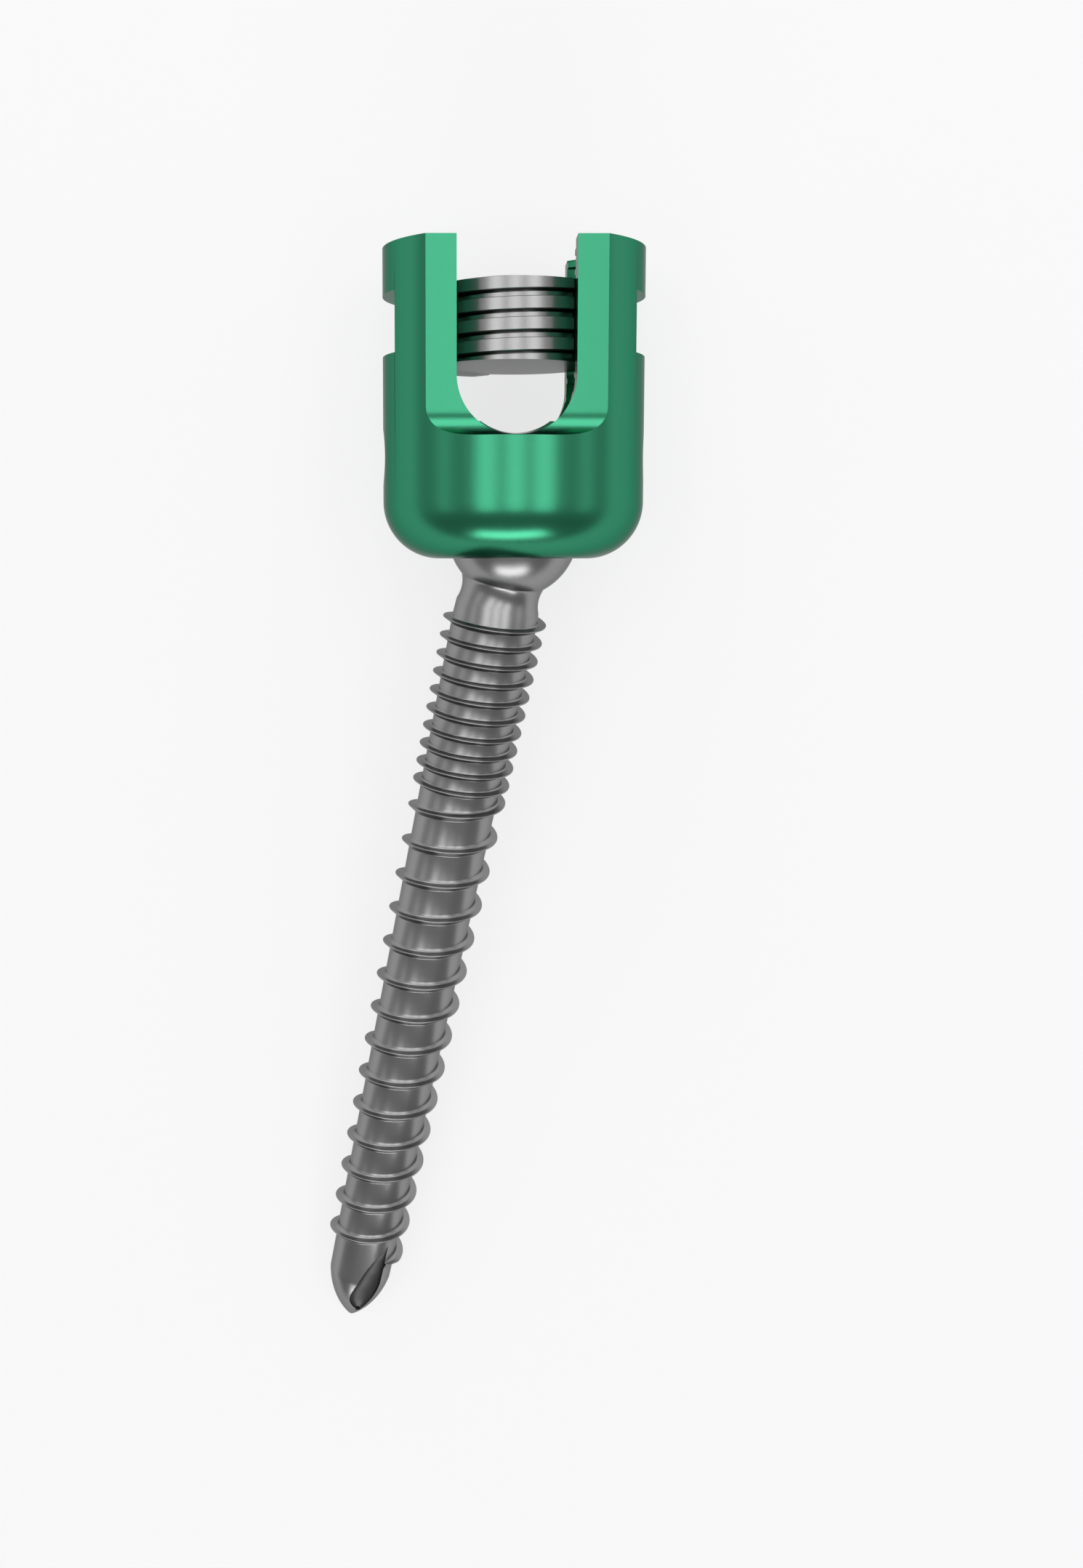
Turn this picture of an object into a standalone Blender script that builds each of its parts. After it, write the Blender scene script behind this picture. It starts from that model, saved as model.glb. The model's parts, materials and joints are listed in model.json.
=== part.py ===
"""Polyaxial pedicle screw: tulip head, pressure crown, bone screw and set screw.

Everything is modelled upright in the tulip's own frame: Z runs up the tulip's axis from the middle of its
bottom face, X runs across the rod channel and the channel opens along Y. The last step lays the whole implant
on its back, the way it comes to rest on a table.
"""

import math

import bmesh
import bpy
import numpy as np
from mathutils import Matrix, Vector

MM = 0.001
DEG = math.pi / 180

# Set screw, with its own Z from its bottom face
SET_CREST_RADIUS = 4.45 * MM
SET_THREAD_DEPTH = 0.50 * MM
SET_PITCH = 1.00 * MM
SET_CREST_WIDTH = 0.63 * MM
SET_LENGTH = 3.98 * MM
SET_RECESS = 1.90 * MM
SET_THREAD_PHASE = 0.69 * MM
SET_DRIVE_RADIUS = 2.20 * MM
SET_DRIVE_FLOOR = 1.18 * MM
SET_CLEARANCE = 0.05 * MM

# Rod that the implant holds, which isn't part of it
ROD_RADIUS = 2.75 * MM
ROD_PLAY = 0.21 * MM
ROD_LIFT = 0.22 * MM
ROD_CLEARANCE = 0.05 * MM

# Tulip
TULIP_WALL = 2.25 * MM
TULIP_HEIGHT = 15.70 * MM
TULIP_RIM = 0.63 * MM
FLAT_WALL = 0.55 * MM
LEDGE_HEIGHT = 5.95 * MM
LEDGE_FILLET = 1.50 * MM
CHANNEL_FLOOR = 6.02 * MM
BORE_STEP = 0.93 * MM
NOTCH_DEPTH = 0.70 * MM
NOTCH_HEIGHT = 3.05 * MM
NOTCH_TOP = 2.40 * MM
SCALLOP_DEPTH = 0.13 * MM
SCALLOP_LENGTH = 3.00 * MM
SWAGE_REACH = 0.12 * MM

# Ball joint
BALL_RADIUS = 3.42 * MM
BALL_HEIGHT = 1.38 * MM
BALL_FLAT_RADIUS = 2.22 * MM
BALL_DRIVE_RADIUS = 1.60 * MM
BALL_DRIVE_DEPTH = 2.40 * MM
SEAT_CLEARANCE = 0.08 * MM
CAVITY_CLEARANCE = 0.18 * MM

# Crown, the pressure cap between the ball and the rod
CROWN_CLEARANCE = 0.08 * MM
CROWN_SKIRT = 1.57 * MM
CROWN_ARM = 0.83 * MM
CROWN_HOLE_RADIUS = 1.70 * MM
CROWN_RIM = 0.95 * MM
CROWN_GROOVE_DEPTH = 0.30 * MM
CROWN_GROOVE_LENGTH = 1.40 * MM

# Bone screw, measured down its axis from the middle of the ball
NECK_TOP_RADIUS = 2.22 * MM
NECK_LENGTH = 1.92 * MM
NECK_WAIST = 0.175 * MM
CORE_TOP_RADIUS = 2.27 * MM
CORE_END_RADIUS = 1.78 * MM
CORE_END = 44.95 * MM
NOSE_LENGTH = 3.00 * MM
NOSE_SWELL = 0.29 * MM
NOSE_TIP_RADIUS = 0.20 * MM
TIP_HOLE_RADIUS = 0.14 * MM
TIP_HOLE_DEPTH = 0.50 * MM
THREAD_HEIGHT = 0.47 * MM
THREAD_CREST = 0.16 * MM
THREAD_LEAD = 0.24 * MM
THREAD_TAIL = 1.34 * MM
THREAD_START_ANGLE = 90 * DEG
THREAD_RUN_IN = 0.25
THREAD_RUN_OUT = 0.08
FINE_PITCH = 1.016 * MM
FINE_TURNS = 10.25
FINE_ROOT = 0.56 * MM
COARSE_PITCH = 2.043 * MM
COARSE_ROOT = 0.76 * MM
FLUTE_COUNT = 2
FLUTE_RADIUS = 1.20 * MM
FLUTE_LEAD = 2.60 * MM
FLUTE_LENGTH = 3.65 * MM
FLUTE_SLOPE = 0.20
FLUTE_START_ANGLE = -50 * DEG
FLUTE_TWIST = -24 * DEG
LEAN_LEFT = 11.08 * DEG
LEAN_BACK = 10.89 * DEG

# Sockets for the screwdrivers
DRIVE_LOBES = 6
DRIVE_WAVE = 0.12

# Sizes that follow from those above
BORE_RADIUS = SET_CREST_RADIUS + SET_CLEARANCE
TULIP_RADIUS = BORE_RADIUS + TULIP_WALL
FLAT_OFFSET = BORE_RADIUS + FLAT_WALL
SET_BOTTOM = TULIP_HEIGHT - SET_RECESS - SET_LENGTH
SEAT_RADIUS = BALL_RADIUS + SEAT_CLEARANCE
CAVITY_RADIUS = BALL_RADIUS + CAVITY_CLEARANCE
CROWN_TOP = CHANNEL_FLOOR + CROWN_ARM
SWAGE_HEIGHT = CROWN_TOP - CROWN_RIM - CROWN_GROOVE_LENGTH / 2
BALL_TOP = math.sqrt(BALL_RADIUS**2 - BALL_FLAT_RADIUS**2)
NECK_TOP = math.sqrt(BALL_RADIUS**2 - NECK_TOP_RADIUS**2)
NECK_BOTTOM = NECK_TOP + NECK_LENGTH
THREAD_START = NECK_BOTTOM - THREAD_LEAD
FINE_END = THREAD_START + FINE_TURNS * FINE_PITCH
COARSE_TURNS = (CORE_END - THREAD_TAIL - FINE_END) / COARSE_PITCH
NOSE_END = CORE_END + NOSE_LENGTH
FLUTE_START = CORE_END - FLUTE_LEAD

# Mesh density
TURNED_STEPS = 64
SHANK_STEPS = 24
CROWN_STEPS = 48
SET_STEPS = 32
SIDES = 32
ARC_POINTS = 8
CHANNEL_POINTS = 24
BALL_RINGS = 14
NECK_RINGS = 4
DRIVE_POINTS = 36
SHARP = 35 * DEG
SINK = 0.25 * MM
MARGIN = 2.0 * MM
MERGE = 0.000001
TINY = 1e-12

TITANIUM = (0.42, 0.42, 0.42, 1)
TITANIUM_BRIGHT = (0.62, 0.62, 0.62, 1)
ANODISED_GREEN = (0.07, 0.48, 0.26, 1)


def start_scene():
    for ob in list(bpy.data.objects):
        bpy.data.objects.remove(ob, do_unlink=True)
    folders = {}
    for name in ("pedicle_screw", "cutters"):
        folders[name] = bpy.data.collections.new(name)
        bpy.context.scene.collection.children.link(folders[name])
    return folders


def make_material(name, colour, roughness):
    material = bpy.data.materials.new(name)
    material.use_nodes = True
    shader = material.node_tree.nodes["Principled BSDF"]
    shader.inputs["Base Color"].default_value = colour
    shader.inputs["Metallic"].default_value = 1
    shader.inputs["Roughness"].default_value = roughness
    return material


def add_object(name, mesh, folder, parent, material=None):
    ob = bpy.data.objects.new(name, mesh)
    folder.objects.link(ob)
    ob.parent = parent
    if material:
        mesh.materials.append(material)
    else:
        ob.display_type = "WIRE"
        ob.hide_render = True
    return ob


def add_empty(name, parent, folder, matrix):
    empty = bpy.data.objects.new(name, None)
    empty.empty_display_size = 5 * MM
    folder.objects.link(empty)
    empty.parent = parent
    empty.matrix_local = matrix
    return empty


def arc_through(start, end, sagitta):
    """Centre and radius of the arc whose middle stands off its chord by sagitta, to the right if positive."""
    ax, ay = start
    bx, by = end
    half = math.hypot(bx - ax, by - ay) / 2
    radius = (half * half + sagitta * sagitta) / (2 * abs(sagitta))
    offset = math.copysign(radius - abs(sagitta), sagitta) / (2 * half)
    return ((ax + bx) / 2 - (by - ay) * offset, (ay + by) / 2 + (bx - ax) * offset), radius


def bulged(start, end, sagitta, count):
    """Points of such an arc, from its start to its end."""
    (cx, cy), radius = arc_through(start, end, sagitta)
    first = math.atan2(start[1] - cy, start[0] - cx)
    sweep = math.remainder(math.atan2(end[1] - cy, end[0] - cx) - first, 2 * math.pi)
    return arc((cx, cy), radius, first, first + sweep, count)


def arc(centre, radius, start, end, count=ARC_POINTS):
    """Points of an arc about centre, between two angles."""
    angles = (start + (end - start) * i / (count - 1) for i in range(count))
    return [(centre[0] + radius * math.cos(a), centre[1] + radius * math.sin(a)) for a in angles]


def turned(name, profile, folder, parent, material=None, steps=TURNED_STEPS, closed=False):
    """A solid of revolution about Z. The profile's (radius, height) points run down its outer side."""
    mesh = bpy.data.meshes.new(name)
    edges = [(i, i + 1) for i in range(len(profile) - 1)]
    if closed:
        edges.append((len(profile) - 1, 0))
    mesh.from_pydata([(r, 0, z) for r, z in profile], edges, [])
    ob = add_object(name, mesh, folder, parent, material)
    screw = ob.modifiers.new("turn", "SCREW")
    screw.axis = "Z"
    screw.angle = 2 * math.pi
    screw.steps = steps
    screw.render_steps = steps
    screw.use_merge_vertices = True
    screw.merge_threshold = MERGE
    screw.use_smooth_shade = True
    return ob


def prism(name, outline, length, folder, parent):
    """A closed outline in the local XY plane, extruded to both sides of it, as a mesh."""
    curve = bpy.data.curves.new(name, "CURVE")
    curve.dimensions = "2D"
    curve.fill_mode = "BOTH"
    curve.extrude = length / 2
    spline = curve.splines.new("POLY")
    spline.points.add(len(outline) - 1)
    for point, (x, y) in zip(spline.points, outline):
        point.co = (x, y, 0, 1)
    spline.use_cyclic_u = True
    drawn = bpy.data.objects.new(name + "_outline", curve)
    folder.objects.link(drawn)
    view = bpy.context.evaluated_depsgraph_get()
    mesh = bpy.data.meshes.new_from_object(drawn.evaluated_get(view))
    bpy.data.objects.remove(drawn, do_unlink=True)
    work = bmesh.new()
    work.from_mesh(mesh)
    bmesh.ops.remove_doubles(work, verts=work.verts, dist=MERGE)
    bmesh.ops.recalc_face_normals(work, faces=work.faces)
    work.to_mesh(mesh)
    work.free()
    return add_object(name, mesh, folder, parent)


def block(name, low, high, folder, parent):
    """A box between two corners."""
    mesh = bpy.data.meshes.new(name)
    work = bmesh.new()
    bmesh.ops.create_cube(work, size=1)
    size = Matrix.Diagonal((*(Vector(high) - Vector(low)), 1))
    place = Matrix.Translation((Vector(high) + Vector(low)) / 2)
    bmesh.ops.transform(work, matrix=place @ size, verts=work.verts)
    work.to_mesh(mesh)
    work.free()
    return add_object(name, mesh, folder, parent)


def rod(name, start, end, radius, folder, parent, sides=TURNED_STEPS):
    """A round bar between two points."""
    start, end = Vector(start), Vector(end)
    turn = (end - start).to_track_quat("Z", "Y").to_matrix().to_4x4()
    shape = {"segments": sides, "radius1": radius, "radius2": radius, "depth": (end - start).length}
    place = Matrix.Translation((start + end) / 2) @ turn
    mesh = bpy.data.meshes.new(name)
    work = bmesh.new()
    bmesh.ops.create_cone(work, cap_ends=True, matrix=place, **shape)
    work.to_mesh(mesh)
    work.free()
    return add_object(name, mesh, folder, parent)


def ball(name, centre, radius, folder, parent):
    mesh = bpy.data.meshes.new(name)
    work = bmesh.new()
    place = Matrix.Translation(centre)
    bmesh.ops.create_uvsphere(work, u_segments=SIDES, v_segments=SIDES // 2, radius=radius, matrix=place)
    work.to_mesh(mesh)
    work.free()
    return add_object(name, mesh, folder, parent)


def combine(ob, other, operation):
    change = ob.modifiers.new(operation.lower() + "_" + other.name, "BOOLEAN")
    change.operation = operation
    change.object = other


def finish(ob):
    """Applies the modifiers. Round faces then shade smooth, and edges sharper than the limit stay crisp."""
    view = bpy.context.evaluated_depsgraph_get()
    mesh = bpy.data.meshes.new_from_object(ob.evaluated_get(view))
    ob.modifiers.clear()
    ob.data = mesh
    mesh.shade_smooth()
    mesh.set_sharp_from_angle(angle=SHARP)


def helical_ridge(name, stations, folder, parent):
    """A closed ridge lofted through (angle, corners) sections, their four corners each a (radius, height)."""
    mesh = bpy.data.meshes.new(name)
    work = bmesh.new()
    rings = []
    for angle, corners in stations:
        c, s = math.cos(angle), math.sin(angle)
        rings.append([work.verts.new((r * c, r * s, z)) for r, z in corners])
    for near, far in zip(rings, rings[1:]):
        for i in range(4):
            j = (i + 1) % 4
            work.faces.new((near[i], near[j], far[j], far[i]))
    work.faces.new(reversed(rings[0]))
    work.faces.new(rings[-1])
    bmesh.ops.recalc_face_normals(work, faces=work.faces)
    work.to_mesh(mesh)
    work.free()
    return add_object(name, mesh, folder, parent)


def drive_outline(radius):
    """The six-lobed outline of a screwdriver socket."""
    wave = radius * DRIVE_WAVE
    outline = []
    for i in range(DRIVE_POINTS):
        angle = 2 * math.pi * i / DRIVE_POINTS
        reach = radius - wave + wave * math.cos(DRIVE_LOBES * angle)
        outline.append((reach * math.cos(angle), reach * math.sin(angle)))
    return outline


def shank_radius(s):
    """The bone screw's radius without its thread, at s below the middle of the ball and under the crease."""
    if s < NECK_BOTTOM:
        crease, end = (NECK_TOP_RADIUS, -NECK_TOP), (CORE_TOP_RADIUS, -NECK_BOTTOM)
        centre, radius = arc_through(crease, end, NECK_WAIST)
        return centre[0] - math.sqrt(radius**2 - (centre[1] + s) ** 2)
    share = (s - NECK_BOTTOM) / (CORE_END - NECK_BOTTOM)
    return CORE_TOP_RADIUS + (CORE_END_RADIUS - CORE_TOP_RADIUS) * share


def tulip_profile():
    """Up the inside of the tulip, over its top and down its outer side. A flat rim is left underneath."""
    seat = arc((0, BALL_HEIGHT), SEAT_RADIUS, math.asin(-BALL_HEIGHT / SEAT_RADIUS), 0)
    mouth = seat[0][0]
    step = CHANNEL_FLOOR + BORE_STEP
    inside = [(CAVITY_RADIUS, BALL_HEIGHT), (CAVITY_RADIUS, step), (BORE_RADIUS, step)]
    top = [(BORE_RADIUS, TULIP_HEIGHT), (TULIP_RADIUS, TULIP_HEIGHT)]
    fillet = TULIP_RADIUS - mouth - TULIP_RIM
    base = arc((TULIP_RADIUS - fillet, fillet), fillet, 0, -90 * DEG)
    return seat + inside + top + base


def flat_cutter(name, side, folder, parent):
    """Mills a flat that ends in a concave arc at the ledge. Side is -1 for the front, 1 for the back."""
    out = TULIP_RADIUS + MARGIN
    middle = (side * (FLAT_OFFSET + LEDGE_FILLET), LEDGE_HEIGHT + LEDGE_FILLET)
    start = 90 * DEG - side * 90 * DEG
    inner = arc(middle, LEDGE_FILLET, start + 180 * DEG, 270 * DEG)
    top = TULIP_HEIGHT + MARGIN
    outline = [(side * FLAT_OFFSET, top)] + inner + [(side * out, LEDGE_HEIGHT), (side * out, top)]
    cutter = prism(name, outline, 2 * out, folder, parent)
    cutter.matrix_local = Matrix(((0, 0, 1, 0), (1, 0, 0, 0), (0, 1, 0, 0), (0, 0, 0, 1)))
    return cutter


def channel_cutter(folder, parent):
    """The U shaped rod channel."""
    half = ROD_RADIUS + ROD_PLAY
    top = TULIP_HEIGHT + MARGIN
    outline = [(-half, top)] + arc((0, CHANNEL_FLOOR + half), half, 180 * DEG, 360 * DEG, CHANNEL_POINTS)
    outline.append((half, top))
    cutter = prism("channel", outline, 2 * (TULIP_RADIUS + MARGIN), folder, parent)
    cutter.matrix_local = Matrix(((1, 0, 0, 0), (0, 0, -1, 0), (0, 1, 0, 0), (0, 0, 0, 1)))
    return cutter


def build_tulip(folders, frame, material):
    parts, cutters = folders["pedicle_screw"], folders["cutters"]
    tulip = turned("tulip", tulip_profile(), parts, frame, material, closed=True)
    out = TULIP_RADIUS + MARGIN
    notch_high = TULIP_HEIGHT - NOTCH_TOP
    notch_low = notch_high - NOTCH_HEIGHT
    scallop_radius = (SCALLOP_LENGTH**2 / 4 + SCALLOP_DEPTH**2) / (2 * SCALLOP_DEPTH)
    swage_radius = (TULIP_RADIUS - SCALLOP_DEPTH - CAVITY_RADIUS) / 2
    for side, word in ((-1, "left"), (1, "right")):
        near, far = sorted((side * (TULIP_RADIUS - NOTCH_DEPTH), side * out))
        notch = block("notch_" + word, (near, -out, notch_low), (far, out, notch_high), cutters, frame)
        combine(tulip, notch, "DIFFERENCE")
        x = side * (TULIP_RADIUS - SCALLOP_DEPTH + scallop_radius)
        ends = (x, -out, SWAGE_HEIGHT), (x, out, SWAGE_HEIGHT)
        combine(tulip, rod("scallop_" + word, *ends, scallop_radius, cutters, frame), "DIFFERENCE")
        x = side * (CAVITY_RADIUS + swage_radius - SWAGE_REACH)
        combine(tulip, ball("swage_" + word, (x, 0, SWAGE_HEIGHT), swage_radius, cutters, frame), "UNION")
    combine(tulip, flat_cutter("flat_front", -1, cutters, frame), "DIFFERENCE")
    combine(tulip, flat_cutter("flat_back", 1, cutters, frame), "DIFFERENCE")
    combine(tulip, channel_cutter(cutters, frame), "DIFFERENCE")
    return tulip


def crown_profile():
    """Up the crown's spherical underside to its hole, then over the top and down past the swage groove."""
    outer = CAVITY_RADIUS - CROWN_CLEARANCE
    groove = outer - CROWN_GROOVE_DEPTH
    top = CROWN_TOP - BALL_HEIGHT
    high = top - CROWN_RIM
    low = high - CROWN_GROOVE_LENGTH
    start, end = math.asin(CROWN_SKIRT / SEAT_RADIUS), math.acos(CROWN_HOLE_RADIUS / SEAT_RADIUS)
    under = arc((0, 0), SEAT_RADIUS, start, end)
    side = [(outer, top), (outer, high), (groove, high), (groove, low), (outer, low), (outer, CROWN_SKIRT)]
    return under + [(CROWN_HOLE_RADIUS, top)] + side


def build_crown(folders, pivot, material):
    parts, cutters = folders["pedicle_screw"], folders["cutters"]
    crown = turned("crown", crown_profile(), parts, pivot, material, steps=CROWN_STEPS, closed=True)
    saddle = ROD_RADIUS + ROD_CLEARANCE
    z = CHANNEL_FLOOR + ROD_LIFT + saddle - BALL_HEIGHT
    reach = TULIP_RADIUS
    combine(crown, rod("saddle", (0, -reach, z), (0, reach, z), saddle, cutters, pivot), "DIFFERENCE")
    return crown


def shank_stations():
    """The bone thread's section at each angle step: its root, crest, crest and root as (radius, s)."""
    turns = FINE_TURNS + COARSE_TURNS
    stations = []
    for i in range(round(turns * SHANK_STEPS) + 1):
        turn = i / SHANK_STEPS
        coarse = max(0.0, turn - FINE_TURNS)
        s = THREAD_START + (turn - coarse) * FINE_PITCH + coarse * COARSE_PITCH
        height = THREAD_HEIGHT * max(0.0, min(1.0, turn / THREAD_RUN_IN, (turns - turn) / THREAD_RUN_OUT))
        widened = min(1.0, coarse / THREAD_RUN_IN)
        root = (FINE_ROOT + (COARSE_ROOT - FINE_ROOT) * widened) / 2
        crest = THREAD_CREST / 2
        section = []
        for offset, rise in ((-root, 0), (-crest, height), (crest, height), (root, 0)):
            section.append((shank_radius(s + offset) + rise, s + offset))
        stations.append(section)
    return stations


def shank_rings(first, last):
    """The (radius, s) of the round sections above the thread and below it."""
    high, low = math.atan2(BALL_TOP, BALL_FLAT_RADIUS), math.atan2(-NECK_TOP, NECK_TOP_RADIUS)
    above = [(r, -z) for r, z in arc((0, 0), BALL_RADIUS, high, low, BALL_RINGS)]
    for i in range(1, NECK_RINGS + 1):
        s = NECK_TOP + (first - NECK_TOP) * i / (NECK_RINGS + 1)
        above.append((shank_radius(s), s))
    nose = bulged((CORE_END_RADIUS, -CORE_END), (NOSE_TIP_RADIUS, -NOSE_END), -NOSE_SWELL, ARC_POINTS)
    below = [(shank_radius((last + CORE_END) / 2), (last + CORE_END) / 2)] + [(r, -z) for r, z in nose]
    return above, below + [(TIP_HOLE_RADIUS, NOSE_END), (TIP_HOLE_RADIUS, NOSE_END - TIP_HOLE_DEPTH)]


def shank_mesh():
    """Lofts ball, neck, threaded core and nose as one closed skin."""
    work = bmesh.new()

    def row(points, start=0):
        verts = []
        for i, (r, s) in enumerate(points, start):
            angle = THREAD_START_ANGLE - 2 * math.pi * i / SHANK_STEPS
            verts.append(work.verts.new((r * math.cos(angle), r * math.sin(angle), -s)))
        return verts

    stations = shank_stations()
    count = len(stations) - 1
    above, below = shank_rings(stations[0][0][1], stations[-1][-1][1])
    rings = [[row([point] * SHANK_STEPS) for point in part] for part in (above, below)]
    for group in rings:
        for upper, lower in zip(group, group[1:]):
            for i in range(SHANK_STEPS):
                j = (i + 1) % SHANK_STEPS
                work.faces.new((upper[i], upper[j], lower[j], lower[i]))
    work.faces.new(rings[0][0])
    work.faces.new(rings[1][-1])

    lines = [row([station[k] for station in stations]) for k in range(4)]
    for upper, lower in zip(lines, lines[1:]):
        for i in range(count):
            work.faces.new((upper[i], upper[i + 1], lower[i + 1], lower[i]))
    root_above, root_below = lines[0], lines[-1]
    for i in range(count - SHANK_STEPS):
        j = i + SHANK_STEPS
        work.faces.new((root_below[i], root_below[i + 1], root_above[j + 1], root_above[j]))

    top, bottom = rings[0][-1], rings[1][0]
    for i in range(SHANK_STEPS - 1):
        work.faces.new((top[i], top[i + 1], root_above[i + 1], root_above[i]))
    begin = [line[0] for line in lines]
    work.faces.new((top[-1], top[0], *begin, root_above[SHANK_STEPS], root_above[SHANK_STEPS - 1]))
    for i in range(count - SHANK_STEPS + 1, count):
        near, far = bottom[i % SHANK_STEPS], bottom[(i + 1) % SHANK_STEPS]
        work.faces.new((root_below[i], root_below[i + 1], far, near))
    end = [line[-1] for line in lines]
    i = count - SHANK_STEPS
    near, far = bottom[i % SHANK_STEPS], bottom[(i + 1) % SHANK_STEPS]
    work.faces.new((root_below[i], *end, near, far, root_below[i + 1]))
    bmesh.ops.triangulate(work, faces=work.faces)
    bmesh.ops.recalc_face_normals(work, faces=work.faces)
    mesh = bpy.data.meshes.new("bone_screw")
    work.to_mesh(mesh)
    work.free()
    return mesh


def flute_cutter(name, around, folder, parent):
    """Mills one cutting flute. It sinks in towards the tip and turns with the thread."""
    points = []
    middle = FLUTE_START_ANGLE + FLUTE_TWIST / 2 + around
    for share in (-1, 2):
        r = shank_radius(FLUTE_START) + FLUTE_RADIUS - FLUTE_SLOPE * FLUTE_LENGTH * share
        aside = r * math.tan(FLUTE_TWIST * (share - 1 / 2))
        across = Matrix.Rotation(middle, 3, "Z") @ Vector((r, aside, 0))
        points.append(across - Vector((0, 0, FLUTE_START + FLUTE_LENGTH * share)))
    return rod(name, *points, FLUTE_RADIUS, folder, parent, SIDES)


def build_bone_screw(folders, pivot, material):
    parts, cutters = folders["pedicle_screw"], folders["cutters"]
    screw = add_object("bone_screw", shank_mesh(), parts, pivot, material)
    for i in range(FLUTE_COUNT):
        around = 2 * math.pi * i / FLUTE_COUNT
        combine(screw, flute_cutter(f"flute_{i + 1}", around, cutters, pivot), "DIFFERENCE")
    drive = prism("ball_drive", drive_outline(BALL_DRIVE_RADIUS), 2 * BALL_DRIVE_DEPTH, cutters, pivot)
    drive.location.z = BALL_TOP
    combine(screw, drive, "DIFFERENCE")
    return screw


def set_stations():
    """The set screw's square thread, one pitch longer than the screw at each end."""
    turns = SET_LENGTH / SET_PITCH + 2
    count = round(turns * SET_STEPS)
    half = SET_CREST_WIDTH / 2
    inner = SET_CREST_RADIUS - SET_THREAD_DEPTH - SINK
    stations = []
    for i in range(count + 1):
        turn = turns * i / count
        z = SET_THREAD_PHASE - SET_PITCH + SET_PITCH * turn
        low, high = z - half, z + half
        corners = [(inner, low), (SET_CREST_RADIUS, low), (SET_CREST_RADIUS, high), (inner, high)]
        stations.append((2 * math.pi * turn - 90 * DEG, corners))
    return stations


def build_set_screw(folders, frame, material):
    parts, cutters = folders["pedicle_screw"], folders["cutters"]
    core = SET_CREST_RADIUS - SET_THREAD_DEPTH
    high, low = SET_LENGTH + MARGIN, -MARGIN
    profile = [(0, high), (core, high), (core, low), (0, low)]
    screw = turned("set_screw", profile, parts, frame, material, steps=SET_STEPS)
    screw.location.z = SET_BOTTOM
    combine(screw, helical_ridge("set_thread", set_stations(), cutters, screw), "UNION")
    reach = SET_CREST_RADIUS + MARGIN
    trim = block("set_trim", (-reach, -reach, 0), (reach, reach, SET_LENGTH), cutters, screw)
    combine(screw, trim, "INTERSECT")
    depth = SET_LENGTH - SET_DRIVE_FLOOR
    drive = prism("set_drive", drive_outline(SET_DRIVE_RADIUS), 2 * depth, cutters, screw)
    drive.location.z = SET_LENGTH
    combine(screw, drive, "DIFFERENCE")
    return screw


def lean():
    """Turns straight down into the shank's direction in the tulip's frame, and keeps X to the right."""
    down = Vector((-math.sin(LEAN_LEFT), math.cos(LEAN_LEFT) * math.sin(LEAN_BACK),
                   -math.cos(LEAN_LEFT) * math.cos(LEAN_BACK)))
    up = -down
    across = (Vector((1, 0, 0)) - up * up.x).normalized()
    back = up.cross(across)
    return Matrix((across, back, up)).transposed().to_4x4()


def solid_facts(objects):
    """Every corner of the solids, and the middle of their joint volume."""
    corners, volume, moment = [], 0.0, Vector()
    for ob in objects:
        points = [ob.matrix_world @ v.co for v in ob.data.vertices]
        corners += points
        ob.data.calc_loop_triangles()
        for face in ob.data.loop_triangles:
            a, b, c = (points[i] for i in face.vertices)
            share = a.dot(b.cross(c)) / 6
            volume += share
            moment += share * (a + b + c) / 4
    return corners, moment / volume


def resting_matrix(objects):
    """Lays the part on its back: on the face of its convex hull that faces back most and bears its weight."""
    corners, balance = solid_facts(objects)
    work = bmesh.new()
    for co in corners:
        work.verts.new(co)
    bmesh.ops.convex_hull(work, input=work.verts, use_existing_faces=False)
    bmesh.ops.triangulate(work, faces=work.faces)
    best, facing = None, -2.0
    for face in work.faces:
        a, b, c = (v.co for v in face.verts)
        normal = (b - a).cross(c - a)
        if normal.length < TINY:
            continue
        normal.normalize()
        if normal.dot(a - balance) < 0:
            normal = -normal
        foot = balance + normal * normal.dot(a - balance)
        sides = [(q - p).cross(foot - p).dot(normal) for p, q in ((a, b), (b, c), (c, a))]
        if (min(sides) >= 0 or max(sides) <= 0) and normal.y > facing:
            best, facing = normal, normal.y
    work.free()
    up = -best
    ahead = (Vector((0, 0, 1)) - up * up.z).normalized()
    turn = Matrix((ahead.cross(up), ahead, up))
    placed = np.array([turn @ co for co in corners])
    low, high = placed.min(axis=0), placed.max(axis=0)
    move = Vector((-(low[0] + high[0]) / 2, -(low[1] + high[1]) / 2, -low[2]))
    return Matrix.Translation(move) @ turn.to_4x4()


def main():
    folders = start_scene()
    parts = folders["pedicle_screw"]
    green = make_material("anodised_green", ANODISED_GREEN, 0.35)
    grey = make_material("titanium", TITANIUM, 0.3)
    bright = make_material("titanium_bright", TITANIUM_BRIGHT, 0.3)
    frame = add_empty("tulip_frame", None, parts, Matrix.Identity(4))
    pivot = add_empty("ball_centre", frame, parts, Matrix.Translation((0, 0, BALL_HEIGHT)))
    shank = add_empty("shank_frame", pivot, parts, lean())
    solids = [
        build_tulip(folders, frame, green),
        build_crown(folders, pivot, grey),
        build_bone_screw(folders, shank, grey),
        build_set_screw(folders, frame, bright),
    ]
    bpy.context.view_layer.update()
    for ob in solids:
        finish(ob)
    frame.matrix_local = resting_matrix(solids)
    bpy.context.view_layer.update()


main()
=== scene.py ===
"""Looks of the polyaxial pedicle screw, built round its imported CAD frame.

Each metal piece is modelled again in full detail and stands for its CAD node. Lengths are in millimetres
until the pieces are placed, and each piece is made upright in the tulip's frame: Z up the tulip from its
bottom face, X across the rod channel, Y along it, the photographed side at -Y.
"""

import json
import math

import bmesh
import bpy
import numpy as np
from mathutils import Matrix, Vector


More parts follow.
